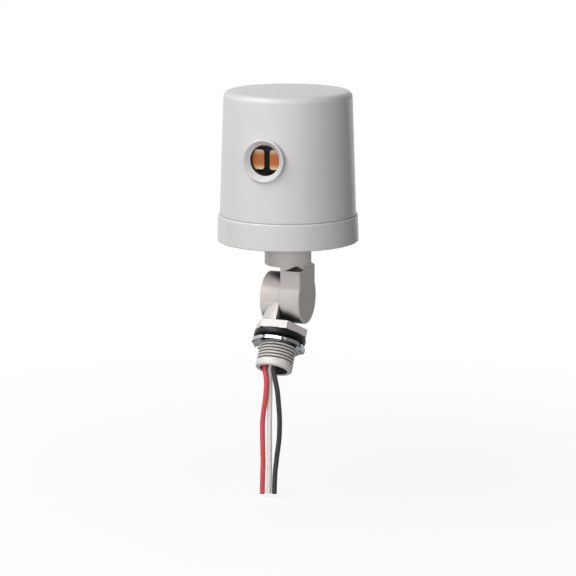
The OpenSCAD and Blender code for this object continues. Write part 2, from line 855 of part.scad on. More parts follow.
module lower_swivel() {
    groove_x = friction_t - seam / 2 + face_gap;
    shelf_bottom = hex_drop + shelf_t;
    color(casting_grey) {
        stem_frame() difference() {
            union() {
                difference() {
                    rotate([0, 180, 0]) union() {
                        half_disc();
                        round_neck(hex_drop + eps);
                        disc(hex_af / 2 / cos(30), hex_drop, hex_bottom, $fn = 6);
                    }
                    rotate([0, 180, 0]) half_hollow(shelf_bottom + eps);
                    difference() {
                        pivot_disc(friction_r + push_play, -groove_x, 0);
                        pivot_disc(friction_r - friction_w - push_play, -half_t, seam);
                    }
                }
                pivot_disc(boss_d / 2, -cavity_x - eps, -seam / 2);
                pivot_disc(recess_r + recess_wall, -cavity_x - eps, recess_wall - recess_floor);
                disc(root_r, -thread_top - eps, -hex_bottom + eps);
                disc(thread_r, stem_chamfer - stem_end, -thread_top);
                translate([0, 0, -stem_end])
                    cylinder(r1 = thread_r - stem_chamfer, r2 = thread_r, h = stem_chamfer + eps);
            }
            disc(bore_r, -stem_end - eps, -shelf_bottom);
            pivot_disc(pivot_d / 2, -half_t, seam);
            pivot_disc(recess_r, -half_t - eps, -recess_floor);
        }
    }
}

module stem_gasket() {
    color("#232323") {
        stem_frame() difference() {
            disc(gasket_d / 2, -gasket_bottom, -hex_bottom);
            disc(root_r + push_play, -stem_end, 0);
        }
    }
}

module locknut() {
    color(steel) {
        stem_frame() translate([0, 0, -gasket_bottom - locknut_t]) rotate(locknut_turn) locknut_form();
    }
}

// A lead in the head, from the seam up to its terminal
module inner_lead(crossing, route, terminal) {
    start = [seam / 2, crossing[1], crossing[2]];
    end = [terminal[0], terminal[1], skirt_z + board_bottom - barrel_l];
    head_frame() lead(concat([start], route, [end]));
}

module inner_lead_red() {
    color("#C9474E") inner_lead(red_cross, red_inside, terminal_at[0]);
}

module inner_lead_white() {
    color("#EDECE8") inner_lead(white_cross, white_inside, terminal_at[1]);
}

module inner_lead_black() {
    color("#2A272A") inner_lead(black_cross, black_inside, terminal_at[2]);
}

// A lead in the stem, from the seam to the start of its free length
module stem_lead(route) {
    start = [-seam / 2, route[0][1], route[0][2]];
    stem_frame() lead(concat([start], route));
}

module stem_lead_red() {
    color("#C9474E") stem_lead(red_stem);
}

module stem_lead_white() {
    color("#EDECE8") stem_lead(white_stem);
}

module stem_lead_black() {
    color("#2A272A") stem_lead(black_stem);
}

module lead_red() {
    color("#C9474E") lead(red_free);
}

module lead_white() {
    color("#EDECE8") lead(white_free);
}

module lead_black() {
    color("#2A272A") lead(black_free);
}

cover();
base();
cover_seal();
eye_lens();
cell_holder();
photocell();
photocell_film();
cell_leads();
board();
board_screws();
terminals();
blade_post();
bimetal_blade();
moving_contact();
contact_post();
fixed_contact();
heater();
surge_arrester();
upper_swivel();
collar_gasket();
base_locknut();
pivot_screw();
pivot_washer();
swivel_washer();
lower_swivel();
stem_gasket();
locknut();
inner_lead_red();
inner_lead_white();
inner_lead_black();
stem_lead_red();
stem_lead_white();
stem_lead_black();
lead_red();
lead_white();
lead_black();
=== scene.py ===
# A photocell switch: a grey housing with an eye, on a swivel with a conduit stem and three leads.
import math

import bmesh
import bpy
from mathutils import Matrix, Vector


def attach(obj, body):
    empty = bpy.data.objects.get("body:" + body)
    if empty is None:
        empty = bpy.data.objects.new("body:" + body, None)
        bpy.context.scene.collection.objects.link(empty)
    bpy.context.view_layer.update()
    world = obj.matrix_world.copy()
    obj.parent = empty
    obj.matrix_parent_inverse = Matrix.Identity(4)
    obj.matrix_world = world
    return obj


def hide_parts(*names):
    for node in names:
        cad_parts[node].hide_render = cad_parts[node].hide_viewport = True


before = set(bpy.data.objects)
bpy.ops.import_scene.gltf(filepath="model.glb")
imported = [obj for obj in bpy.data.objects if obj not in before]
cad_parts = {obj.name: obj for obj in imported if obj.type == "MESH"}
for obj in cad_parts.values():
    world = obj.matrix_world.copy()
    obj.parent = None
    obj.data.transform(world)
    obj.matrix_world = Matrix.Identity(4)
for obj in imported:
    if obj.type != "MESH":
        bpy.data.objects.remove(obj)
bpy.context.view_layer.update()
scene = bpy.context.scene

# Sizes are in millimetres, as in the part's source, and a mesh is scaled to metres when it becomes a piece.
MM = 0.001
TILT = math.radians(32)
MOUNT_DROP = 37.5
SKIRT_Z = 33.3
SKIRT_R, SKIRT_TOP_R, SKIRT_H = 40.0, 39.5, 15.0
CUP_R = 36.5
SHOULDER_R, COVER_TOP_R, COVER_WALL = 38.5, 36.25, 2.2
HOUSING_H, CROWN_H, EDGE_R = 86.0, 1.2, 4.0
SIDE_TOP = HOUSING_H - CROWN_H - EDGE_R
EYE_Z = 50.0
BEZEL_R, BEZEL_FRONT, WINDOW_R = 12.0, 39.703, 8.75
ROOT_R, THREAD_R, BORE_R, PITCH = 9.5, 10.4, 7.8, 25.4 / 14
HEX_BOTTOM, GASKET_BOTTOM, NUT_BOTTOM, STEM_END = 23.1, 26.7, 30.7, 44.0
KNUCKLE_R, SEAM = 14.5, 0.3
LEAD_D = 2.9

# The frames of the part: head and stem meet at the pivot, the housing stands on the head.
PIVOT = Vector((0, MOUNT_DROP * math.sin(TILT), MOUNT_DROP * math.cos(TILT)))
HEAD = Matrix.Translation(PIVOT)
STEM = HEAD @ Matrix.Rotation(-TILT, 4, "X")
HOUSING = HEAD @ Matrix.Translation((0, 0, SKIRT_Z))
EYE = HOUSING @ Matrix.Translation((0, 0, EYE_Z)) @ Matrix.Rotation(math.radians(90), 4, "X")

# Camera and lamps stand round one point just above the pivot, in metres, and look at it.
AIM_RISE = 0.0053
AIM = PIVOT * MM + Vector((0, 0, AIM_RISE))


def stood(name, data, turn, rise, reach):
    """Stand a camera or lamp off the aim point, turned from the front to the right and raised in degrees."""
    turn, rise = math.radians(turn), math.radians(rise)
    out = Vector((math.sin(turn) * math.cos(rise), -math.cos(turn) * math.cos(rise), math.sin(rise)))
    made = bpy.data.objects.new(name, data)
    made.location = AIM + out * reach
    made.rotation_euler = out.to_track_quat("Z", "Y").to_euler()
    scene.collection.objects.link(made)
    return made


# Camera: a long lens a little to the right of the eye and above it, as in the photograph.
CAMERA_TURN, CAMERA_RISE, CAMERA_REACH = 20.5, 11.3, 1.4
SENSOR_WIDTH, VIEW_WIDTH = 36, 0.327
lens = bpy.data.cameras.new("camera")
lens.sensor_width = SENSOR_WIDTH
lens.lens = SENSOR_WIDTH * CAMERA_REACH / VIEW_WIDTH
scene.camera = stood("camera", lens, CAMERA_TURN, CAMERA_RISE, CAMERA_REACH)
scene.view_settings.view_transform = "Standard"


def colour(code):
    """Linear RGBA of an sRGB hex colour."""
    parts = [int(code[i:i + 2], 16) / 255 for i in (1, 3, 5)]
    return [c / 12.92 if c <= 0.04045 else ((c + 0.055) / 1.055) ** 2.4 for c in parts] + [1.0]


def add(tree, kind, sockets=None, **settings):
    """Add a node with its settings, and fill its sockets with values or links."""
    made = tree.nodes.new(kind)
    for name, value in settings.items():
        setattr(made, name, value)
    for name, value in (sockets or {}).items():
        if isinstance(value, bpy.types.NodeSocket):
            tree.links.new(value, made.inputs[name])
        else:
            made.inputs[name].default_value = value
    return made


def emptied(owner):
    """The node tree of a material or a world, with nothing in it."""
    owner.use_nodes = True
    owner.node_tree.nodes.clear()
    return owner.node_tree


# A Mix node's sockets for colours share their names with those for numbers, so they go by their places.
FACTOR, FIRST, SECOND, MIXED = 0, 6, 7, 2
# Most of a noise lies between these values.
NOISE_LOW, NOISE_HIGH = 0.3, 0.7
# How open a corner is where its painted shade is full and where there is none, and the share of colour that
# full shade keeps.
SHADE_FULL_AT, SHADE_NONE_AT, SHADE_KEEPS = 0.38, 0.75, 0.05


def surface(
    name, light, dark, patch_mm, rough, grain_mm, relief_mm, stretch=(1, 1, 1), painted_shade_mm=0, **sockets,
):
    """A solid finish: two close shades in patches, a roughness that varies with them, and a fine relief.

    Where a size is given, corners narrower than that are darkened by painted shade, the more the less open
    they are.
    """
    made = bpy.data.materials.new(name)
    tree = emptied(made)
    place = add(tree, "ShaderNodeTexCoord").outputs["Object"]
    place = add(tree, "ShaderNodeMapping", {"Vector": place, "Scale": stretch}).outputs["Vector"]
    patches = add(tree, "ShaderNodeTexNoise", {"Vector": place, "Scale": 1 / (patch_mm * MM), "Detail": 4.0})
    shade = add(
        tree, "ShaderNodeMix",
        {FACTOR: patches.outputs["Fac"], FIRST: colour(dark), SECOND: colour(light)}, data_type="RGBA",
    ).outputs[MIXED]
    # Painted shade: ambient occlusion darkens the colour in narrow corners.
    if painted_shade_mm:
        openness = add(
            tree, "ShaderNodeAmbientOcclusion", {"Distance": painted_shade_mm * MM}, samples=8,
        ).outputs["AO"]
        unshaded = add(
            tree, "ShaderNodeMapRange",
            {
                "Value": openness, "From Min": SHADE_FULL_AT, "From Max": SHADE_NONE_AT,
                "To Min": SHADE_KEEPS,
            },
        ).outputs["Result"]
        shade = add(
            tree, "ShaderNodeMix", {FACTOR: 1.0, FIRST: shade, SECOND: unshaded},
            data_type="RGBA", blend_type="MULTIPLY",
        ).outputs[MIXED]
    gloss = add(
        tree, "ShaderNodeMapRange",
        {
            "Value": patches.outputs["Fac"], "From Min": NOISE_LOW, "From Max": NOISE_HIGH,
            "To Min": rough[0], "To Max": rough[1],
        },
    )
    grain = add(tree, "ShaderNodeTexNoise", {"Vector": place, "Scale": 1 / (grain_mm * MM), "Detail": 2.0})
    relief = add(tree, "ShaderNodeBump", {"Height": grain.outputs["Fac"], "Distance": relief_mm * MM})
    shader = add(
        tree, "ShaderNodeBsdfPrincipled",
        {
            "Base Color": shade, "Roughness": gloss.outputs["Result"],
            "Normal": relief.outputs["Normal"], **sockets,
        },
    )
    add(tree, "ShaderNodeOutputMaterial", {"Surface": shader.outputs["BSDF"]})
    return made


# Weatherproof styrene plastic, moulded in a lightly eroded tool: an even pale grey with a soft satin sheen.
housing_plastic = surface(
    "asa_moulded_pale_grey", "#DCDBD9", "#D9D8D6", 26, (0.25, 0.27), 1.1, 0.006, IOR=1.5,
)
# Zinc die casting under a satin grey coat: warm, with a soft cast skin, a faint metal sheen and painted shade
# darkening its corners.
casting = surface(
    "zinc_die_cast_satin_coat", "#E3DDD9", "#DCD6D2", 9, (0.34, 0.44), 0.9, 0.012,
    painted_shade_mm=9, Metallic=0.08,
)
# The same casting where the thread is cut into it, in a paler copy that paints the stronger light on the
# stem, with painted shade darkening the thread's grooves.
threaded_zinc_light_and_shade = surface(
    "zinc_die_cast_threaded_painted_light_and_shade", "#ECE6E2", "#E5DFDB", 6, (0.32, 0.40), 0.9, 0.008, painted_shade_mm=1.6, IOR=1.5,
)
# Zinc die casting without its coat, dull, dark and rough: it lines the bore, partly as painted shade, and
# paints shade along the thread's roots and in the neck's pocket.
dark_zinc_shade = surface("zinc_die_cast_dark_painted_shade", "#4A4744", "#3C3A37", 3, (0.5, 0.65), 0.8, 0.02, IOR=1.5)
# Black nitrile rubber, moulded: deep black with a broad dull sheen along its rim.
rubber = surface("nitrile_rubber_moulded", "#121315", "#0D0E0F", 5, (0.34, 0.46), 0.6, 0.015, IOR=1.48)
# Steel plate, stamped and bright zinc plated: mirror-like patches with a cold blue-white tone.
zinc_plate = surface(
    "steel_stamped_zinc_plated", "#DDE1E6", "#CFD4DA", 4, (0.14, 0.22), 0.9, 0.004, Metallic=1.0,
)
# Black phenolic, compression moulded: a dark matt well round the cell.
phenolic = surface("phenolic_moulded_black", "#17171A", "#101012", 4, (0.45, 0.6), 0.5, 0.01)
# Dark resin that seals the cell's face: near black and glossy.
cell_resin = surface("epoxy_sealed_cell_face", "#0E0A07", "#080604", 3, (0.12, 0.2), 0.8, 0.01)
# Vulcanised fibre, punched: brown and dry, seen only as a line in the seam.
fibre = surface("vulcanised_fibre_punched", "#7A664F", "#665340", 2, (0.6, 0.75), 0.3, 0.02)
# Paper laminate, sawn: brown with the cloudy look of its pressed sheets.
laminate = surface(
    "phenolic_paper_laminate", "#94713F", "#7D5E33", 6, (0.4, 0.55), 0.4, 0.01, stretch=(1, 1, 6),
)
# Brass strip, rolled and punched: yellow with fine streaks along the strip.
ROLLED = (0.2, 1, 1)
brass = surface(
    "brass_strip_rolled", "#CDB56A", "#B9A057", 2, (0.25, 0.4), 0.4, 0.004, stretch=ROLLED, Metallic=1.0,
)
# Bimetal strip, rolled: a dull nickel grey with streaks along the strip.
bimetal = surface(
    "bimetal_strip_rolled", "#ADA79E", "#989289", 2, (0.3, 0.45), 0.4, 0.004, stretch=ROLLED, Metallic=1.0,
)
# Fine silver, coined: white metal with a slightly dull face.
silver = surface("silver_contact_coined", "#E3E2DE", "#D2D1CC", 1, (0.2, 0.35), 0.3, 0.004, Metallic=1.0)
# Bare copper wire, drawn: red-brown metal.
copper = surface("copper_wire_drawn", "#C98258", "#B8704A", 1, (0.25, 0.4), 0.2, 0.004, Metallic=1.0)
# Resistor body under a fired coat: dull blue-grey.
heater_coat = surface("ceramic_resistor_coat", "#67899A", "#597887", 2, (0.45, 0.6), 0.4, 0.02)
# Disc dipped in epoxy: glossy blue with the soft swell of a dipped coat.
dipped_epoxy = surface("epoxy_dipped_disc", "#35659A", "#2C5683", 3, (0.15, 0.25), 2.0, 0.05)
# Lead insulation, extruded vinyl: even colour and a soft gloss that runs along the wire.
EXTRUDED = (1, 1, 0.2)
vinyls = {
    "red": ("#EA6068", "#E2565E", (0.32, 0.42)),
    "white": ("#FAF9F6", "#F5F4F0", (0.32, 0.42)),
    "black": ("#545056", "#4B474D", (0.30, 0.40)),
}
lead_finishes = {
    tint: surface("vinyl_extruded_" + tint, light, dark, 8, rough, 0.8, 0.015, stretch=EXTRUDED, IOR=1.53)
    for tint, (light, dark, rough) in vinyls.items()
}

# The lens's rim, moulded with it: clear plastic too thick and round to see through, so that it looks white.
lens_rim = surface(
    "polycarbonate_moulded_rim", "#F5F3F3", "#EDEAEC", 7, (0.12, 0.2), 2.0, 0.01,
    **{"IOR": 1.58, "Transmission Weight": 0.2},
)
# Clear polycarbonate, moulded: glass-clear with a faint cold tint and the soft swell of its flow.
FLOW_MM, FLOW_DEPTH_MM = 6, 0.02
LENS_TINT = colour("#F6F9F9")
clear_lens = bpy.data.materials.new("polycarbonate_moulded_clear")
tree = emptied(clear_lens)
place = add(tree, "ShaderNodeTexCoord").outputs["Object"]
flow = add(tree, "ShaderNodeTexNoise", {"Vector": place, "Scale": 1 / (FLOW_MM * MM), "Detail": 1.0})
relief = add(tree, "ShaderNodeBump", {"Height": flow.outputs["Fac"], "Distance": FLOW_DEPTH_MM * MM})
shader = add(
    tree, "ShaderNodeBsdfPrincipled",
    {
        "Base Color": LENS_TINT, "Roughness": 0.04, "IOR": 1.58, "Transmission Weight": 1.0,
        "Specular IOR Level": 0.15, "Normal": relief.outputs["Normal"],
    },
)
# The lamps' light goes straight through it, so that the cell behind it is lit.
clear_way = add(tree, "ShaderNodeBsdfTransparent", {"Color": LENS_TINT})
lit_through = add(tree, "ShaderNodeLightPath").outputs["Is Shadow Ray"]
mixed = add(tree, "ShaderNodeMixShader", {0: lit_through, 1: shader.outputs[0], 2: clear_way.outputs[0]})
add(tree, "ShaderNodeOutputMaterial", {"Surface": mixed.outputs[0]})

# Sintered cell film under its resin: amber, deeper in the middle, with a painted cream highlight towards its
# upper and lower ends.
AMBER_END_MM, HIGHLIGHT_FULL_MM = 2.2, 5.6
FILM_GRAIN_MM, FILM_RELIEF_MM = 0.5, 0.03
cell_film = bpy.data.materials.new("sintered_cell_film_amber")
tree = emptied(cell_film)
place = add(tree, "ShaderNodeTexCoord").outputs["Object"]
eye_height = (PIVOT.z + SKIRT_Z + EYE_Z) * MM
up = add(tree, "ShaderNodeMapping", {"Vector": place, "Location": (0, 0, -eye_height)}).outputs["Vector"]
height = add(tree, "ShaderNodeSeparateXYZ", {"Vector": up}).outputs["Z"]
from_middle = add(tree, "ShaderNodeMath", {0: height}, operation="ABSOLUTE").outputs[0]
# Painted highlight: the film turns cream towards its upper and lower ends.
end_highlight = add(
    tree, "ShaderNodeMapRange",
    {"Value": from_middle, "From Min": AMBER_END_MM * MM, "From Max": HIGHLIGHT_FULL_MM * MM},
    interpolation_type="SMOOTHSTEP",
).outputs["Result"]
grains = add(
    tree, "ShaderNodeTexNoise", {"Vector": place, "Scale": 1 / (FILM_GRAIN_MM * MM), "Detail": 3.0},
).outputs["Fac"]
amber = add(
    tree, "ShaderNodeMix", {FACTOR: grains, FIRST: colour("#B0521C"), SECOND: colour("#D27C3A")},
    data_type="RGBA",
).outputs[MIXED]
tone = add(
    tree, "ShaderNodeMix", {FACTOR: end_highlight, FIRST: amber, SECOND: colour("#E8CFA4")}, data_type="RGBA",
).outputs[MIXED]
relief = add(tree, "ShaderNodeBump", {"Height": grains, "Distance": FILM_RELIEF_MM * MM})
shader = add(
    tree, "ShaderNodeBsdfPrincipled",
    {"Base Color": tone, "Roughness": 0.35, "Normal": relief.outputs["Normal"]},
)
add(tree, "ShaderNodeOutputMaterial", {"Surface": shader.outputs["BSDF"]})


def holder(name, bm, finish=None):
    """An object that holds a mesh, which is used up by it, in one finish."""
    mesh = bpy.data.meshes.new(name)
    bm.to_mesh(mesh)
    bm.free()
    if finish is not None:
        mesh.materials.clear()
        mesh.materials.append(finish)
    made = bpy.data.objects.new(name, mesh)
    scene.collection.objects.link(made)
    return made


def piece(name, bm, finish, body, nodes, place=None, crease=32):
    """Make a piece of a mesh in millimetres: soft shading up to the crease angle, riding on its body."""
    if place is not None:
        bm.transform(place)
    bm.transform(Matrix.Scale(MM, 4))
    for face in bm.faces:
        face.smooth = True
    for edge in bm.edges:
        edge.smooth = len(edge.link_faces) == 2 and edge.calc_face_angle() < math.radians(crease)
    made = holder(name, bm, finish)
    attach(made, body)
    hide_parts(*nodes)
    return made


def weigh_normals(made):
    """Keep large flats flat beside their rounded edges."""
    weights = made.modifiers.new("flats", "WEIGHTED_NORMAL")
    weights.keep_sharp = True
    weights.weight = 80


def rounded(corners, steps=6):
    """Outline whose corners (x, y, radius) are rounded."""
    outline = []
    for i, (x, y, radius) in enumerate(corners):
        corner = Vector((x, y))
        if radius == 0:
            outline.append((x, y))
            continue
        before = (Vector(corners[i - 1][:2]) - corner).normalized()
        after = (Vector(corners[(i + 1) % len(corners)][:2]) - corner).normalized()
        half = before.angle(after) / 2
        centre = corner + (before + after).normalized() * (radius / math.sin(half))
        first = corner + before * (radius / math.tan(half)) - centre
        last = corner + after * (radius / math.tan(half)) - centre
        start = math.atan2(first.y, first.x)
        sweep = (math.atan2(last.y, last.x) - start + math.pi) % (2 * math.pi) - math.pi
        for k in range(steps + 1):
            turn = start + sweep * k / steps
            outline.append((centre.x + radius * math.cos(turn), centre.y + radius * math.sin(turn)))
    return outline


def turned(section, around=160, ring=True):
    """Turn a half section (radius, height) about Z. A ring's section is closed, others end on the axis."""
    bm = bmesh.new()
    circle = [(math.cos(2 * math.pi * k / around), math.sin(2 * math.pi * k / around)) for k in range(around)]
    columns = []
    for r, z in section:
        if r < 1e-6:
            columns.append([bm.verts.new((0, 0, z))] * around)
        else:
            columns.append([bm.verts.new((r * c, r * s, z)) for c, s in circle])
    pairs = list(zip(columns, columns[1:]))
    if ring:
        pairs.append((columns[-1], columns[0]))
    for low, high in pairs:
        for k in range(around):
            j = (k + 1) % around
            corners = dict.fromkeys((low[k], low[j], high[j], high[k]))
            if len(corners) > 2:
                bm.faces.new(corners)
    bmesh.ops.recalc_face_normals(bm, faces=bm.faces)
    return bm


def straight(outlines, low, high):
    """Straight blocks over outlines (x, y), between two heights."""
    bm = bmesh.new()
    for outline in outlines:
        foot, head = ([bm.verts.new((x, y, z)) for x, y in outline] for z in (low, high))
        bm.faces.new(foot)
        bm.faces.new(head)
        for k in range(len(outline)):
            bm.faces.new((foot[k - 1], foot[k], head[k], head[k - 1]))
    bmesh.ops.recalc_face_normals(bm, faces=bm.faces)
    return bm


def settled(scratch):
    """The mesh that a scratch object's modifiers give, and the end of that object."""
    shaped = scratch.evaluated_get(bpy.context.evaluated_depsgraph_get())
    mesh = bpy.data.meshes.new_from_object(shaped)
    bm = bmesh.new()
    bm.from_mesh(mesh)
    bpy.data.meshes.remove(mesh)
    bpy.data.objects.remove(scratch)
    return bm


def combined(bm, tool, operation):
    """The mesh after a cut or a join with another one."""
    blank, other = holder("blank", bm), holder("tool", tool)
    cut = blank.modifiers.new("cut", "BOOLEAN")
    cut.object, cut.operation, cut.solver = other, operation, "EXACT"
    result = settled(blank)
    bpy.data.objects.remove(other)
    return result


def grown(name, bm, tree, values):
    """The mesh that a Geometry Nodes tree makes of a seed, with its named inputs set."""
    seed = holder(name, bm)
    growth = seed.modifiers.new(name, "NODES")
    growth.node_group = tree
    for item in tree.interface.items_tree:
        if item.in_out == "INPUT" and item.name in values:
            growth[item.identifier] = values[item.name]
    return settled(seed)


def node_tree(name, **sockets):
    """A Geometry Nodes tree with a mesh in, a mesh out and named inputs."""
    tree = bpy.data.node_groups.new(name, "GeometryNodeTree")
    tree.interface.new_socket("Geometry", in_out="OUTPUT", socket_type="NodeSocketGeometry")
    tree.interface.new_socket("Geometry", in_out="INPUT", socket_type="NodeSocketGeometry")
    for label, kind in sockets.items():
        tree.interface.new_socket(
            label.replace("_", " "), in_out="INPUT", socket_type="NodeSocket" + kind,
        )
    return tree, add(tree, "NodeGroupInput").outputs


def finished(tree, geometry, finish):
    """End a Geometry Nodes tree: real meshes, in one finish."""
    real = add(tree, "GeometryNodeRealizeInstances", {"Geometry": geometry})
    dressed = add(tree, "GeometryNodeSetMaterial", {"Geometry": real.outputs[0], "Material": finish})
    add(tree, "NodeGroupOutput", {"Geometry": dressed.outputs["Geometry"]})


def copied(*nodes, tidy=True):
    """A copy of CAD nodes in millimetres, merged, with its flat faces in one piece."""
    bm = bmesh.new()
    for node in nodes:
        bm.from_mesh(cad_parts[node].data)
    bm.transform(Matrix.Scale(1 / MM, 4))
    bmesh.ops.remove_doubles(bm, verts=bm.verts, dist=0.002)
    if tidy:
        bmesh.ops.dissolve_limit(bm, angle_limit=math.radians(0.3), verts=bm.verts, edges=bm.edges)
    return bm


# The three free leads hang from the stem's mouth, cut square at their ends, where their strands show.
strand_tree, given = node_tree(
    "strand_ends", Strand_Radius="Float", Strand_Length="Float", Finish="Material",
)
strand = add(
    strand_tree, "GeometryNodeMeshCylinder",
    {"Vertices": 8, "Radius": given["Strand Radius"], "Depth": given["Strand Length"]},
)
strands = add(
    strand_tree, "GeometryNodeInstanceOnPoints",
    {"Points": given["Geometry"], "Instance": strand.outputs["Mesh"]},
)
finished(strand_tree, strands.outputs["Instances"], given["Finish"])

free_leads = {
    "red": (
        (-6, -1.1, 0.1), (-5.6, -2.9, -2.8), (-4.9, -4.4, -5.6), (-3.8, -5.5, -8.8), (-3.3, -6, -12.8),
        (-3.5, -6.1, -18), (-4.1, -6.1, -23.3), (-5, -6, -29.2), (-5.6, -6, -35.3), (-5.7, -6, -41.4),
        (-5.6, -6, -47.3), (-5.5, -6, -53.4), (-5.4, -6, -59.5), (-5.6, -6, -66), (-5.8, -6, -72),
        (-5.9, -6, -77.5),
    ),
    "white": (
        (-2.9, 0.9, -1.2), (-2.8, -0.8, -3.9), (-2.7, -1.9, -6.4), (-2.6, -2.3, -9), (-2.5, -2.6, -13),
        (-2.4, -2.8, -18), (-2.4, -3.1, -23.3), (-2.3, -3.6, -29.2), (-2.2, -4, -35.3), (-2.1, -4.3, -41.4),
        (-2.1, -4.4, -47.3), (-2.1, -4.4, -53.4), (-2.1, -4.4, -59.5), (-2.2, -4.4, -66), (-2.4, -4.4, -72),
        (-2.5, -4.4, -77.3),
    ),
    "black": (
        (0, -0.8, -0.1), (0.1, -2.5, -2.8), (0.4, -4, -5.6), (1, -4.6, -8.4), (1.6, -4.8, -11),
        (2.3, -4.8, -14.4), (2.9, -4.8, -17.8), (3.6, -4.8, -25.2), (4, -4.8, -30), (4.2, -4.8, -34.8),
        (4.1, -4.8, -40), (3.9, -4.8, -44.4), (3.3, -4.8, -49.4), (2.6, -4.8, -54.4), (2.1, -4.8, -59),
        (1.5, -4.8, -64), (1.1, -4.8, -70.5), (0.9, -4.8, -77.1),
    ),
}
STRAND_R, STRAND_L, STRAND_GAP, STRAND_SUNK = 0.15, 0.6, 0.31, 0.15
BUNDLE_R = 2.05 * STRAND_GAP
for tint, route in free_leads.items():
    points = [Vector(p) * MM for p in route]
    wire = bpy.data.curves.new("lead_" + tint, "CURVE")
    wire.dimensions = "3D"
    wire.bevel_depth = LEAD_D / 2 * MM
    wire.bevel_resolution = 6
    wire.resolution_u = 6
    wire.use_fill_caps = True
    wire.materials.append(lead_finishes[tint])
    run = wire.splines.new("BEZIER")
    run.use_smooth = True
    run.bezier_points.add(len(points) - 1)
    for knot, point in zip(run.bezier_points, points):
        knot.co = point
        knot.handle_left_type = knot.handle_right_type = "AUTO"
    insulation = bpy.data.objects.new("free_lead_" + tint, wire)
    scene.collection.objects.link(insulation)
    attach(insulation, "stem")
    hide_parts("lead_" + tint)

    seed = bmesh.new()
    for row in range(-2, 3):
        for column in range(-2, 3):
            spot = Vector((column + row / 2, row * math.sqrt(0.75), 0)) * STRAND_GAP
            if spot.length < BUNDLE_R:
                seed.verts.new(spot)
    bundle = grown(
        "strands", seed, strand_tree,
        {"Strand Radius": STRAND_R, "Strand Length": STRAND_L, "Finish": copper},
    )
    way = (points[-1] - points[-2]).normalized()
    middle = points[-1] / MM - STRAND_SUNK * way
    bundle.transform(Matrix.Translation(middle) @ way.to_track_quat("Z", "Y").to_matrix().to_4x4())
    bundle.transform(Matrix.Scale(MM, 4))
    cut_end = holder("strand_ends_" + tint, bundle, copper)
    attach(cut_end, "stem")


# Cover: a drawn-in cup with a rounded and slightly crowned top, whose spigot stands in the base.
def cover_radius(z):
    return SHOULDER_R + (COVER_TOP_R - SHOULDER_R) * (z - SKIRT_H) / (SIDE_TOP - SKIRT_H)


def cover_arch(inset, steps):
    """Outline of the cover's top, from its side to the axis."""
    corner = COVER_TOP_R - EDGE_R
    radius = EDGE_R - inset
    turns = [k * math.pi / 2 / steps for k in range(steps + 1)]
    arc = [(corner + radius * math.cos(turn), SIDE_TOP + radius * math.sin(turn)) for turn in turns]
    outs = [1 - k / steps for k in range(1, steps + 1)]
    crown = [(corner * out, HOUSING_H - inset - CROWN_H * out ** 2) for out in outs]
    return arc + crown


SPIGOT_R, SPIGOT_FOOT = 36.4, 6.0
PLUG_HOLE_R, PLUG_HOLE_BACK, PLUG_HOLE_FRONT = 10.95, 20, 45
FOOT_ROUND = (-0.8, 0), (-0.4, 0.11), (-0.11, 0.4), (-0.02, 0.8)
BLEND_Z = SKIRT_H + 2 * COVER_WALL
OUTER_RINGS, INNER_RINGS = range(18, 80, 4), range(22, 80, 6)
outside = [(SPIGOT_R - COVER_WALL, SPIGOT_FOOT), (SPIGOT_R, SPIGOT_FOOT), (SPIGOT_R, SKIRT_H)]
outside += [(SHOULDER_R + out, SKIRT_H + up) for out, up in FOOT_ROUND]
outside += [(cover_radius(z), z) for z in OUTER_RINGS]
outside += cover_arch(0, 14)
inside = [(SPIGOT_R - COVER_WALL, SKIRT_H + COVER_WALL), (cover_radius(BLEND_Z) - COVER_WALL, BLEND_Z)]
inside += [(cover_radius(z) - COVER_WALL, z) for z in INNER_RINGS]
inside += cover_arch(COVER_WALL, 10)
shell = turned(outside + inside[::-1], around=192)
bmesh.ops.remove_doubles(shell, verts=shell.verts, dist=1e-4)
plug_section = [
    (0, PLUG_HOLE_BACK), (PLUG_HOLE_R, PLUG_HOLE_BACK), (PLUG_HOLE_R, PLUG_HOLE_FRONT), (0, PLUG_HOLE_FRONT),
]
plug_hole = turned(plug_section, around=96, ring=False)
plug_hole.transform(HOUSING.inverted() @ EYE)
shell = combined(shell, plug_hole, "DIFFERENCE")
cover = piece("cover_shell", shell.copy(), housing_plastic, "head", ["cover"], HOUSING)
weigh_normals(cover)

# Base: a cup with a skirt, hollow under its floor, with a seat for the collar and three posts for the board.
COLLAR_HOLE_R, SEAT_R, UNDERSIDE, CUP_FLOOR = 10.5, 17, 2, 5
POST_HOLE_R, POST_R, POST_FOOT, POST_TOP, POST_REACH = 1.5, 3.2, 4.5, 32, 26
cup = turned(
    rounded([
        (COLLAR_HOLE_R, 0, 0), (SEAT_R, 0, 0.4), (SEAT_R, UNDERSIDE, 0.3), (CUP_R, UNDERSIDE, 0.3),
        (CUP_R, 0, 0.3), (SKIRT_R, 0, 0.7), (SKIRT_TOP_R, SKIRT_H, 0.95), (CUP_R, SKIRT_H, 0.3),
        (CUP_R, CUP_FLOOR, 0.3), (COLLAR_HOLE_R, CUP_FLOOR, 0),
    ]),
    around=192,
)
post_section = [
    (POST_HOLE_R, POST_FOOT), (POST_R, POST_FOOT), (POST_R, POST_TOP), (POST_HOLE_R, POST_TOP),
]
for turn in (90, 210, 330):
    post = turned(post_section, around=32)
    post.transform(Matrix.Rotation(math.radians(turn), 4, "Z") @ Matrix.Translation((POST_REACH, 0, 0)))
    cup = combined(cup, post, "UNION")
base = piece("base_cup", cup, housing_plastic, "head", ["base"], HOUSING)
weigh_normals(base)

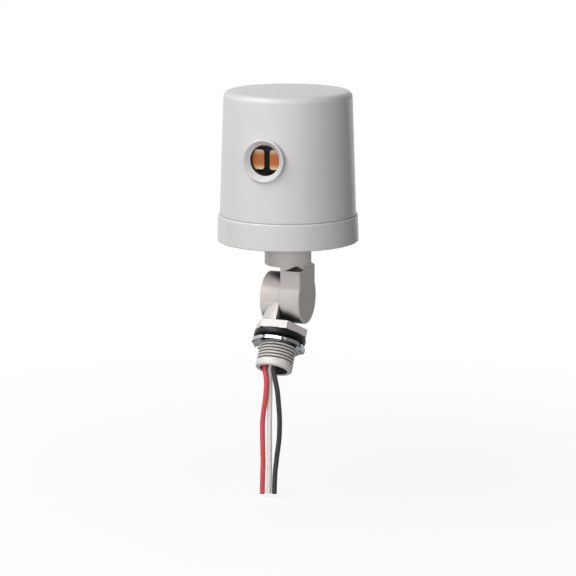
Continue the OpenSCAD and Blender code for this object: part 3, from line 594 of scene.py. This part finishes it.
# Lens: a clear bezel whose back follows the cover, with a funnel from its rounded rim down to the window.
BEZEL_BACK, WINDOW_FRONT, WINDOW_BACK = 34.6, BEZEL_FRONT - 3.2, BEZEL_FRONT - 4.6
PLUG_R, PLUG_IN_R, PLUG_BACK = 10.85, 9.65, 30.203
WINDOW_ROUND, RIM_FLAT = 0.3, 1.0
rim = rounded([
    (0, WINDOW_FRONT, 0), (WINDOW_R, WINDOW_FRONT, WINDOW_ROUND), (BEZEL_R - RIM_FLAT, BEZEL_FRONT, 0.5),
    (BEZEL_R, BEZEL_FRONT, 0.6), (BEZEL_R, BEZEL_BACK, 0), (PLUG_R, BEZEL_BACK, 0), (PLUG_R, PLUG_BACK, 0),
    (PLUG_IN_R, PLUG_BACK, 0), (PLUG_IN_R, WINDOW_BACK, 0), (0, WINDOW_BACK, 0),
])
bezel = turned(rim, around=128, ring=False)
shell.transform(EYE.inverted() @ HOUSING)
bezel = combined(bezel, shell, "DIFFERENCE")
eye = piece("eye_bezel", bezel, clear_lens, "head", ["eye_lens"], EYE)
eye.data.materials.append(lens_rim)
eye_centre = EYE.translation * MM
for face in eye.data.polygons:
    out = face.center - eye_centre
    face.material_index = int(math.hypot(out.x, out.z) > (WINDOW_R - WINDOW_ROUND) * MM)

# Cell film: two fields with rounded inner corners, whose outer edge follows the cell.
CELL_GAP, FILM_T, FILM_H, FILM_BAR, FIELD_R = 3.0, 0.3, 11.0, 3.4, 8.6
CELL_FRONT = WINDOW_BACK - CELL_GAP
field_end = math.asin(FILM_H / 2 / FIELD_R)
edge_turns = [field_end * (k / 6 - 1) for k in range(1, 12)]
edge = [(FIELD_R * math.cos(turn), FIELD_R * math.sin(turn), 0) for turn in edge_turns]
tip = FIELD_R * math.cos(field_end)
field = rounded(
    [(FILM_BAR / 2, -FILM_H / 2, 1.5), (tip, -FILM_H / 2, 0.5)] + edge
    + [(tip, FILM_H / 2, 0.5), (FILM_BAR / 2, FILM_H / 2, 1.5)],
)
film = straight([field, [(-x, y) for x, y in field]], CELL_FRONT, CELL_FRONT + FILM_T)
piece("cell_fields", film, cell_film, "head", ["photocell_film"], EYE)

# Swivel: the upper half with its collar, and the lower half with the hex flange, as they were cast.
SEAM_SLACK, RIM_W, HAIRLINE = 0.02, 0.4, 0.07


def closed_seam(bm, side):
    """The casting with its outer edge drawn to the seam, so that the two halves meet in a hairline."""
    for vert in bm.verts:
        from_pivot = math.hypot(vert.co.y - PIVOT.y, vert.co.z - PIVOT.z)
        if abs(vert.co.x - side * SEAM / 2) < SEAM_SLACK and from_pivot > KNUCKLE_R - RIM_W:
            vert.co.x = side * HAIRLINE / 2
    return bm


# Pocket that the core left in the neck's front corner, under the collar, with its places from the pivot.
NECK_TOP, NECK_FRONT, NECK_WALL = 17.5, -12.5, 0.5
POCKET_BACK, POCKET_FLOOR = -9.6, 14.8
# A three-cornered mouth opens over a well behind the neck's front wall, so that the pocket lies in shade, and
# its faces get painted shade too.
MOUTH_LEFT, MOUTH_RIGHT, MOUTH_PEAK_X, MOUTH_PEAK = 2.6, 11.2, 8.2, 20.1
WELL_LEFT, WELL_RIGHT, WELL_TOP = 3.6, 10.9, NECK_TOP + 0.1
NEARLY = 0.05
mouth = [(MOUTH_LEFT, NECK_TOP), (MOUTH_RIGHT, NECK_TOP), (MOUTH_PEAK_X, MOUTH_PEAK)]
well = [
    (WELL_LEFT, POCKET_FLOOR), (WELL_RIGHT, POCKET_FLOOR), (WELL_RIGHT, WELL_TOP), (WELL_LEFT, WELL_TOP),
]
upper = closed_seam(copied("upper_swivel"), 1)
for outline, front in ((mouth, NECK_FRONT - 1), (well, NECK_FRONT + NECK_WALL)):
    cutter = straight([outline], -POCKET_BACK, -front)
    cutter.transform(HEAD @ Matrix.Rotation(math.pi / 2, 4, "X"))
    upper = combined(upper, cutter, "DIFFERENCE")
upper = piece("upper_casting", upper, casting, "head", ["upper_swivel"], crease=20)
weigh_normals(upper)
# Painted shade: the pocket's faces take the dark finish.
upper.data.materials.append(dark_zinc_shade)
for face in upper.data.polygons:
    x, y, z = face.center / MM - PIVOT
    across = MOUTH_LEFT - NEARLY < x < MOUTH_RIGHT + NEARLY
    inwards = NECK_FRONT + NEARLY < y < POCKET_BACK + NEARLY
    upwards = POCKET_FLOOR - NEARLY < z < MOUTH_PEAK + NEARLY
    face.material_index = int(across and inwards and upwards)

# Thread on the stem: its height over the root follows one rule, which repeats with the turn and the pitch.
# The flanks lie between two shares of a turn, the ends run out, and only the tube's outer skin moves.
FLANK_START, FLANK_END, RUN_OUT, OUTER_SKIN = 0.08, 0.38, 0.7, 0.9
thread_tree, given = node_tree(
    "conduit_thread", Root_Radius="Float", Depth="Float", Pitch="Float", Thread_Top="Float",
    Thread_End="Float", Finish="Material",
)
where = add(thread_tree, "GeometryNodeInputPosition").outputs["Position"]
axes = add(thread_tree, "ShaderNodeSeparateXYZ", {"Vector": where}).outputs
flat = add(thread_tree, "ShaderNodeCombineXYZ", {"X": axes["X"], "Y": axes["Y"]}).outputs["Vector"]
reach = add(thread_tree, "ShaderNodeVectorMath", {0: flat}, operation="LENGTH").outputs["Value"]
outward = add(thread_tree, "ShaderNodeVectorMath", {0: flat}, operation="NORMALIZE").outputs["Vector"]
angle = add(thread_tree, "ShaderNodeMath", {0: axes["Y"], 1: axes["X"]}, operation="ARCTAN2").outputs[0]
turns = add(thread_tree, "ShaderNodeMath", {0: angle, 1: 2 * math.pi}, operation="DIVIDE").outputs[0]
climb = add(thread_tree, "ShaderNodeMath", {0: axes["Z"], 1: given["Pitch"]}, operation="DIVIDE").outputs[0]
phase = add(thread_tree, "ShaderNodeMath", {0: climb, 1: turns}, operation="SUBTRACT").outputs[0]
wave = add(thread_tree, "ShaderNodeMath", {0: phase, 1: 0.5}, operation="PINGPONG").outputs[0]
tooth = add(
    thread_tree, "ShaderNodeMapRange", {"Value": wave, "From Min": FLANK_START, "From Max": FLANK_END},
).outputs["Result"]
run_out = add(
    thread_tree, "ShaderNodeMath", {0: given["Thread End"], 1: RUN_OUT}, operation="ADD",
).outputs[0]
band = add(
    thread_tree, "ShaderNodeMapRange",
    {"Value": axes["Z"], "From Min": given["Thread End"], "From Max": run_out, "To Min": 1.0, "To Max": 0.0},
    interpolation_type="SMOOTHSTEP",
).outputs["Result"]
crest = add(thread_tree, "ShaderNodeMath", {0: tooth, 1: band}, operation="MAXIMUM").outputs[0]
run_in = add(
    thread_tree, "ShaderNodeMath", {0: given["Thread Top"], 1: RUN_OUT}, operation="SUBTRACT",
).outputs[0]
fade = add(
    thread_tree, "ShaderNodeMapRange",
    {"Value": axes["Z"], "From Min": run_in, "From Max": given["Thread Top"], "To Min": 1.0, "To Max": 0.0},
    interpolation_type="SMOOTHSTEP",
).outputs["Result"]
mid_wall = add(
    thread_tree, "ShaderNodeMath", {0: given["Root Radius"], 1: OUTER_SKIN}, operation="SUBTRACT",
).outputs[0]
on_outside = add(thread_tree, "ShaderNodeMath", {0: reach, 1: mid_wall}, operation="GREATER_THAN").outputs[0]
lift = add(thread_tree, "ShaderNodeMath", {0: crest, 1: fade}, operation="MULTIPLY").outputs[0]
lift = add(thread_tree, "ShaderNodeMath", {0: lift, 1: on_outside}, operation="MULTIPLY").outputs[0]
lift = add(thread_tree, "ShaderNodeMath", {0: lift, 1: given["Depth"]}, operation="MULTIPLY").outputs[0]
offset = add(
    thread_tree, "ShaderNodeVectorMath", {0: outward, "Scale": lift}, operation="SCALE",
).outputs["Vector"]
moved = add(thread_tree, "GeometryNodeSetPosition", {"Geometry": given["Geometry"], "Offset": offset})
finished(thread_tree, moved.outputs["Geometry"], given["Finish"])

# The tube below the flange is turned in fine rings for the thread, with rounded lips at its end.
CUT_Z = HEX_BOTTOM + 1.4
RING_START, RING_STEP, RINGS = 28.2, 0.14, 107
THREAD_TOP, THREAD_END, THREAD_TURN = 29.0, 40.4, 119
OUTER_LIP = (0, 0.75), (-0.1, 0.5), (-0.35, 0.2), (-0.7, 0)
INNER_LIP = (0.3, 0), (0.08, 0.1), (0, 0.35)
tube = [(ROOT_R, -CUT_Z)] + [(ROOT_R, -RING_START - RING_STEP * k) for k in range(RINGS)]
tube += [(ROOT_R + out, -STEM_END + up) for out, up in OUTER_LIP]
tube += [(BORE_R + out, -STEM_END + up) for out, up in INNER_LIP] + [(BORE_R, -CUT_Z)]
threaded = grown(
    "thread", turned(tube, around=144), thread_tree,
    {
        "Root Radius": ROOT_R, "Depth": THREAD_R - ROOT_R, "Pitch": PITCH, "Thread Top": -THREAD_TOP,
        "Thread End": -THREAD_END, "Finish": threaded_zinc_light_and_shade,
    },
)
threaded.transform(Matrix.Rotation(math.radians(THREAD_TURN), 4, "Z"))
lower = closed_seam(copied("lower_swivel"), -1)
lower.transform(STEM.inverted())
bmesh.ops.bisect_plane(
    lower, geom=lower.verts[:] + lower.edges[:] + lower.faces[:],
    plane_co=(0, 0, -CUT_Z), plane_no=(0, 0, -1), clear_outer=True,
)
bmesh.ops.bridge_loops(lower, edges=[edge for edge in lower.edges if edge.is_boundary])
scratch = bpy.data.meshes.new("threaded")
threaded.to_mesh(scratch)
threaded.free()
lower.from_mesh(scratch)
bpy.data.meshes.remove(scratch)
# The dark finish lines the bore, partly as painted shade, and paints shade just over the thread's roots; the
# plain end keeps the paler copy.
DARK_BORE, DARK_ROOT, PLAIN_END = 0.1, 0.22, 1.5
COATED, THREADED, DARKENED = 0, 1, 2
stem_finishes = []
for face in lower.faces:
    spot = face.calc_center_median()
    out = math.hypot(spot.x, spot.y)
    darkened = out < BORE_R + DARK_BORE or (out < ROOT_R + DARK_ROOT and spot.z > -STEM_END + PLAIN_END)
    stem_finishes.append(COATED if spot.z > -CUT_Z else DARKENED if darkened else THREADED)
lower = piece("lower_casting", lower, casting, "stem", ["lower_swivel"], STEM, crease=40)
lower.data.materials.append(threaded_zinc_light_and_shade)
lower.data.materials.append(dark_zinc_shade)
for face, finish in zip(lower.data.polygons, stem_finishes):
    face.material_index = finish
weigh_normals(lower)

# Gasket: a rubber ring squeezed under the flange, with rounded and slightly swollen sides.
GASKET_R, GASKET_SWELL, GASKET_HOLE_R = 14.9, 0.25, ROOT_R + 0.1
seal = turned(
    rounded([
        (GASKET_HOLE_R, -GASKET_BOTTOM, 0.2), (GASKET_R - GASKET_SWELL, -GASKET_BOTTOM, 0.8),
        (GASKET_R, -(GASKET_BOTTOM + HEX_BOTTOM) / 2, 2.5), (GASKET_R - GASKET_SWELL, -HEX_BOTTOM, 0.8),
        (GASKET_HOLE_R, -HEX_BOTTOM, 0.2),
    ]),
    around=128,
)
piece("stem_seal", seal, rubber, "stem", ["stem_gasket"], STEM, crease=50)

# Locknut: one stamped lug with its share of the ring, repeated round the stem.
nut_tree, given = node_tree("locknut_lugs", Lugs="Int", Turn="Float", Finish="Material")
spots = add(nut_tree, "GeometryNodePoints", {"Count": given["Lugs"]})
index = add(nut_tree, "GeometryNodeInputIndex").outputs["Index"]
step = add(nut_tree, "ShaderNodeMath", {0: 2 * math.pi, 1: given["Lugs"]}, operation="DIVIDE").outputs[0]
turn = add(
    nut_tree, "ShaderNodeMath", {0: index, 1: step, 2: given["Turn"]}, operation="MULTIPLY_ADD",
).outputs[0]
spin = add(nut_tree, "ShaderNodeCombineXYZ", {"Z": turn}).outputs["Vector"]
lugs = add(
    nut_tree, "GeometryNodeInstanceOnPoints",
    {"Points": spots.outputs[0], "Instance": given["Geometry"], "Rotation": spin},
)
finished(nut_tree, lugs.outputs["Instances"], given["Finish"])

NUT_IN_R, RING_R, TIP_R, TIP_FLAT = 9.6, 12.0, 15.5, 0.8
NUT_H, PLATE_T, NOTCH_W, NOTCH_DEPTH, LUGS, NUT_TURN = 4.0, 2.2, 2.2, 2.4, 8, 6
NOTCH_R = TIP_R - TIP_FLAT - NOTCH_DEPTH
RING_FOOT_R = RING_R - PLATE_T / 3
LUG_ROWS = 13.4, 14.3
STAMPED_ROUND, STAMPED_ANGLE = 0.3, 40
half_share = math.pi / LUGS


def nut_top(r):
    return NUT_H if r < RING_R else NUT_H - (NUT_H - PLATE_T) * (r - RING_R) / (TIP_R - RING_R)


def nut_under(r):
    return NUT_H - PLATE_T if r < RING_FOOT_R else (NUT_H - PLATE_T) * (TIP_R - r) / (TIP_R - RING_FOOT_R)


def lug_side(r):
    return half_share - math.asin(NOTCH_W / 2 / r)


def nut_wall(bm, path):
    """Side wall of the lug between its top and its underside, along a path of plan points."""
    for (a_low, a_high), (b_low, b_high) in zip(path, path[1:]):
        bm.faces.new((a_low, b_low, b_high, a_high))


lug = bmesh.new()
COLUMNS = 9
rows = []
for r in (NUT_IN_R, RING_FOOT_R, RING_R, NOTCH_R, *LUG_ROWS, TIP_R):
    side = lug_side(max(r, NOTCH_R))
    turns = [side * (2 * k / (COLUMNS - 1) - 1) for k in range(COLUMNS)]
    if r <= NOTCH_R:
        turns = [-half_share] + turns + [half_share]
    row = []
    for phi in turns:
        at = min(r, (TIP_R - TIP_FLAT) / math.cos(phi)) if r == TIP_R else r
        spot = (at * math.cos(phi), at * math.sin(phi))
        row.append((lug.verts.new((*spot, nut_under(at))), lug.verts.new((*spot, nut_top(at)))))
    rows.append(row)
for near, far in zip(rows, rows[1:]):
    if len(far) < len(near):
        nut_wall(lug, near[:2])
        nut_wall(lug, near[-2:])
        near = near[1:-1]
    for (a, b), (c, d) in zip(zip(near, near[1:]), zip(far, far[1:])):
        lug.faces.new((a[1], b[1], d[1], c[1]))
        lug.faces.new((a[0], c[0], d[0], b[0]))
nut_wall(lug, rows[0])
nut_wall(lug, rows[-1])
outer_rows = [row for row in rows if len(row) == COLUMNS]
first_sides = [rows[3][1:-1]] + outer_rows
nut_wall(lug, [row[0] for row in first_sides])
nut_wall(lug, [row[-1] for row in first_sides])
nut_bm = grown("lugs", lug, nut_tree, {"Lugs": LUGS, "Turn": math.radians(NUT_TURN), "Finish": zinc_plate})
bmesh.ops.remove_doubles(nut_bm, verts=nut_bm.verts, dist=0.01)
bmesh.ops.recalc_face_normals(nut_bm, faces=nut_bm.faces)
nut = piece(
    "stem_locknut", nut_bm, zinc_plate, "stem", ["locknut"],
    STEM @ Matrix.Translation((0, 0, -NUT_BOTTOM)),
)
stamped = nut.modifiers.new("stamped_edges", "BEVEL")
stamped.width, stamped.segments, stamped.limit_method = STAMPED_ROUND * MM, 3, "ANGLE"
stamped.angle_limit = math.radians(STAMPED_ANGLE)
weigh_normals(nut)

# Pivot, washers, seals and the leads inside the stem keep their CAD shape, with soft shading.
screw = piece("pivot_fastener", copied("pivot_screw"), zinc_plate, "head", ["pivot_screw"])
weigh_normals(screw)
piece("pivot_ring", copied("pivot_washer"), zinc_plate, "head", ["pivot_washer"])
piece("friction_ring", copied("swivel_washer"), fibre, "stem", ["swivel_washer"])
piece("collar_seal", copied("collar_gasket"), rubber, "head", ["collar_gasket"])
piece("cell_well", copied("cell_holder"), phenolic, "head", ["cell_holder"])
for tint, finish in lead_finishes.items():
    node = "stem_lead_" + tint
    piece(node + "_run", copied(node, tidy=False), finish, "stem", [node], crease=60)

# The sealed works keep their CAD solids, each in its own finish.
works = {
    "cover_seal": rubber, "photocell": cell_resin, "cell_leads": copper,
    "board": laminate, "board_screws": zinc_plate, "terminals": brass, "blade_post": brass,
    "bimetal_blade": bimetal, "moving_contact": silver, "contact_post": brass, "fixed_contact": silver,
    "heater": heater_coat, "surge_arrester": dipped_epoxy, "base_locknut": zinc_plate,
    **{"inner_lead_" + tint: finish for tint, finish in lead_finishes.items()},
}
for node, finish in works.items():
    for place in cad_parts[node].material_slots:
        place.material = finish

WHITE = colour("#FFFFFF")


def in_mirrors(tree, share):
    """What kind of ray meets a surface, and the share of it that mirrors and glass see as white."""
    seen = add(tree, "ShaderNodeLightPath").outputs
    mirror = add(
        tree, "ShaderNodeMath", {0: seen["Is Glossy Ray"], 1: seen["Is Transmission Ray"]},
        operation="MAXIMUM",
    ).outputs[0]
    return seen, add(tree, "ShaderNodeMath", {0: mirror, 1: share}, operation="MULTIPLY").outputs[0]


# Floor: pale and matt, just under the leads, and white to the camera, with the object's soft shadow on it.
FLOOR_Z, FLOOR_REACH = -0.0795, 12.0
# Metres from the middle where the shadow starts to fade and where it is gone, and the least share of white.
SHADOW_END, PLAIN_START, SHADOW_SHARE = 0.1, 0.4, 0.86
# Mirrors see the floor white behind the object, where it is near or towards the left, and dim elsewhere.
BACK_START, BACK_FULL = -0.02, 0.25
NEAR_END, FAR_START, FAR_SHARE = 0.15, 0.5, 0.2
LEFT_BACK, LEFT_START, LEFT_FULL = (-0.8, 0.55, 0), 0.1, 0.5
floor_mesh = bpy.data.meshes.new("floor")
floor_corners = [(x * FLOOR_REACH, y * FLOOR_REACH, FLOOR_Z) for x, y in ((-1, -1), (1, -1), (1, 1), (-1, 1))]
floor_mesh.from_pydata(floor_corners, [], [(0, 1, 2, 3)])
floor = bpy.data.objects.new("floor", floor_mesh)
scene.collection.objects.link(floor)
floor_paint = bpy.data.materials.new("matt_pale_floor")
tree = emptied(floor_paint)
place = add(tree, "ShaderNodeTexCoord").outputs["Object"]
away = add(tree, "ShaderNodeVectorMath", {0: place}, operation="LENGTH").outputs["Value"]
depth = add(tree, "ShaderNodeSeparateXYZ", {"Vector": place}).outputs["Y"]
plain = add(
    tree, "ShaderNodeMapRange",
    {"Value": away, "From Min": SHADOW_END, "From Max": PLAIN_START, "To Min": SHADOW_SHARE, "To Max": 1.0},
).outputs["Result"]
behind = add(
    tree, "ShaderNodeMapRange", {"Value": depth, "From Min": BACK_START, "From Max": BACK_FULL},
).outputs["Result"]
near = add(
    tree, "ShaderNodeMapRange",
    {"Value": away, "From Min": NEAR_END, "From Max": FAR_START, "To Min": 1.0, "To Max": FAR_SHARE},
).outputs["Result"]
leftward = add(
    tree, "ShaderNodeVectorMath", {0: place, 1: LEFT_BACK}, operation="DOT_PRODUCT",
).outputs["Value"]
left = add(
    tree, "ShaderNodeMapRange", {"Value": leftward, "From Min": LEFT_START, "From Max": LEFT_FULL},
).outputs["Result"]
near = add(tree, "ShaderNodeMath", {0: near, 1: left}, operation="MAXIMUM").outputs[0]
behind = add(tree, "ShaderNodeMath", {0: behind, 1: near}, operation="MULTIPLY").outputs[0]
seen, mirrored = in_mirrors(tree, behind)
looked_at = add(tree, "ShaderNodeMath", {0: seen["Is Camera Ray"], 1: plain}, operation="MULTIPLY").outputs[0]
share = add(tree, "ShaderNodeMath", {0: looked_at, 1: mirrored}, operation="MAXIMUM").outputs[0]
tone = add(
    tree, "ShaderNodeMix",
    {FACTOR: seen["Is Glossy Ray"], FIRST: colour("#A6A6A6"), SECOND: colour("#3C3C3C")}, data_type="RGBA",
).outputs[MIXED]
tone = add(
    tree, "ShaderNodeMix", {FACTOR: seen["Is Camera Ray"], FIRST: tone, SECOND: WHITE}, data_type="RGBA",
).outputs[MIXED]
matt = add(tree, "ShaderNodeBsdfDiffuse", {"Color": tone})
white = add(tree, "ShaderNodeEmission", {"Color": WHITE, "Strength": 1.0})
mixed = add(tree, "ShaderNodeMixShader", {0: share, 1: matt.outputs[0], 2: white.outputs[0]})
add(tree, "ShaderNodeOutputMaterial", {"Surface": mixed.outputs[0]})
floor_mesh.materials.append(floor_paint)

# Surround: white to the camera, pale in mirrors at the back left, and dim in them elsewhere.
PALE_WAY, PALE_START, PALE_FULL, DIM_SHARE, PALE_SHARE = (-0.8, 0.55, 0.1), -0.1, 0.6, 0.2, 0.8
# A low backdrop lights the object's back, and the rest of the room gives little light.
BACKDROP_START, BACKDROP_FULL, BACKDROP_FADE, BACKDROP_TOP = 0.3, 0.9, 0.25, 0.55
BACKDROP_LEVEL, ROOM_LEVEL = 0.3, 0.02
world = bpy.data.worlds.new("studio")
scene.world = world
tree = emptied(world)
way = add(tree, "ShaderNodeTexCoord").outputs["Generated"]
depth = add(tree, "ShaderNodeVectorMath", {0: way, 1: PALE_WAY}, operation="DOT_PRODUCT").outputs["Value"]
behind = add(
    tree, "ShaderNodeMapRange",
    {
        "Value": depth, "From Min": PALE_START, "From Max": PALE_FULL,
        "To Min": DIM_SHARE, "To Max": PALE_SHARE,
    },
).outputs["Result"]
seen, mirrored = in_mirrors(tree, behind)
share = add(tree, "ShaderNodeMath", {0: seen["Is Camera Ray"], 1: mirrored}, operation="MAXIMUM").outputs[0]
sides = add(tree, "ShaderNodeSeparateXYZ", {"Vector": way}).outputs
backdrop = add(
    tree, "ShaderNodeMapRange", {"Value": sides["Y"], "From Min": BACKDROP_START, "From Max": BACKDROP_FULL},
).outputs["Result"]
upper_edge = add(
    tree, "ShaderNodeMapRange",
    {"Value": sides["Z"], "From Min": BACKDROP_FADE, "From Max": BACKDROP_TOP, "To Min": 1.0, "To Max": 0.0},
).outputs["Result"]
glow = add(tree, "ShaderNodeMath", {0: backdrop, 1: upper_edge}, operation="MULTIPLY").outputs[0]
level = add(
    tree, "ShaderNodeMath", {0: glow, 1: BACKDROP_LEVEL, 2: ROOM_LEVEL}, operation="MULTIPLY_ADD",
).outputs[0]
room = add(tree, "ShaderNodeBackground", {"Color": WHITE, "Strength": level})
white = add(tree, "ShaderNodeBackground", {"Color": WHITE, "Strength": 1.0})
mixed = add(tree, "ShaderNodeMixShader", {0: share, 1: room.outputs[0], 2: white.outputs[0]})
add(tree, "ShaderNodeOutputWorld", {"Surface": mixed.outputs[0]})

# Light: a wide soft lamp low beside the camera, two higher ones towards the left, and one for the back.
LAMP_REACH = 1.3
# Turn and rise in degrees, width and height in metres, watts, and whether mirrors show the lamp.
lamps = {
    "front": (14, 8, 1.7, 0.5, 8.7, False),
    "high_front": (-19, 43, 1.0, 0.7, 7.4, True),
    "high_left": (-60, 55, 0.8, 0.6, 6.5, True),
    "back": (-160, 4, 1.2, 0.34, 6.2, False),
}
for name, (turn, rise, width, height, watts, glare) in lamps.items():
    light = bpy.data.lights.new(name, "AREA")
    light.shape, light.size, light.size_y, light.energy = "RECTANGLE", width, height, watts
    stood(name, light, turn, rise, LAMP_REACH).visible_glossy = glare
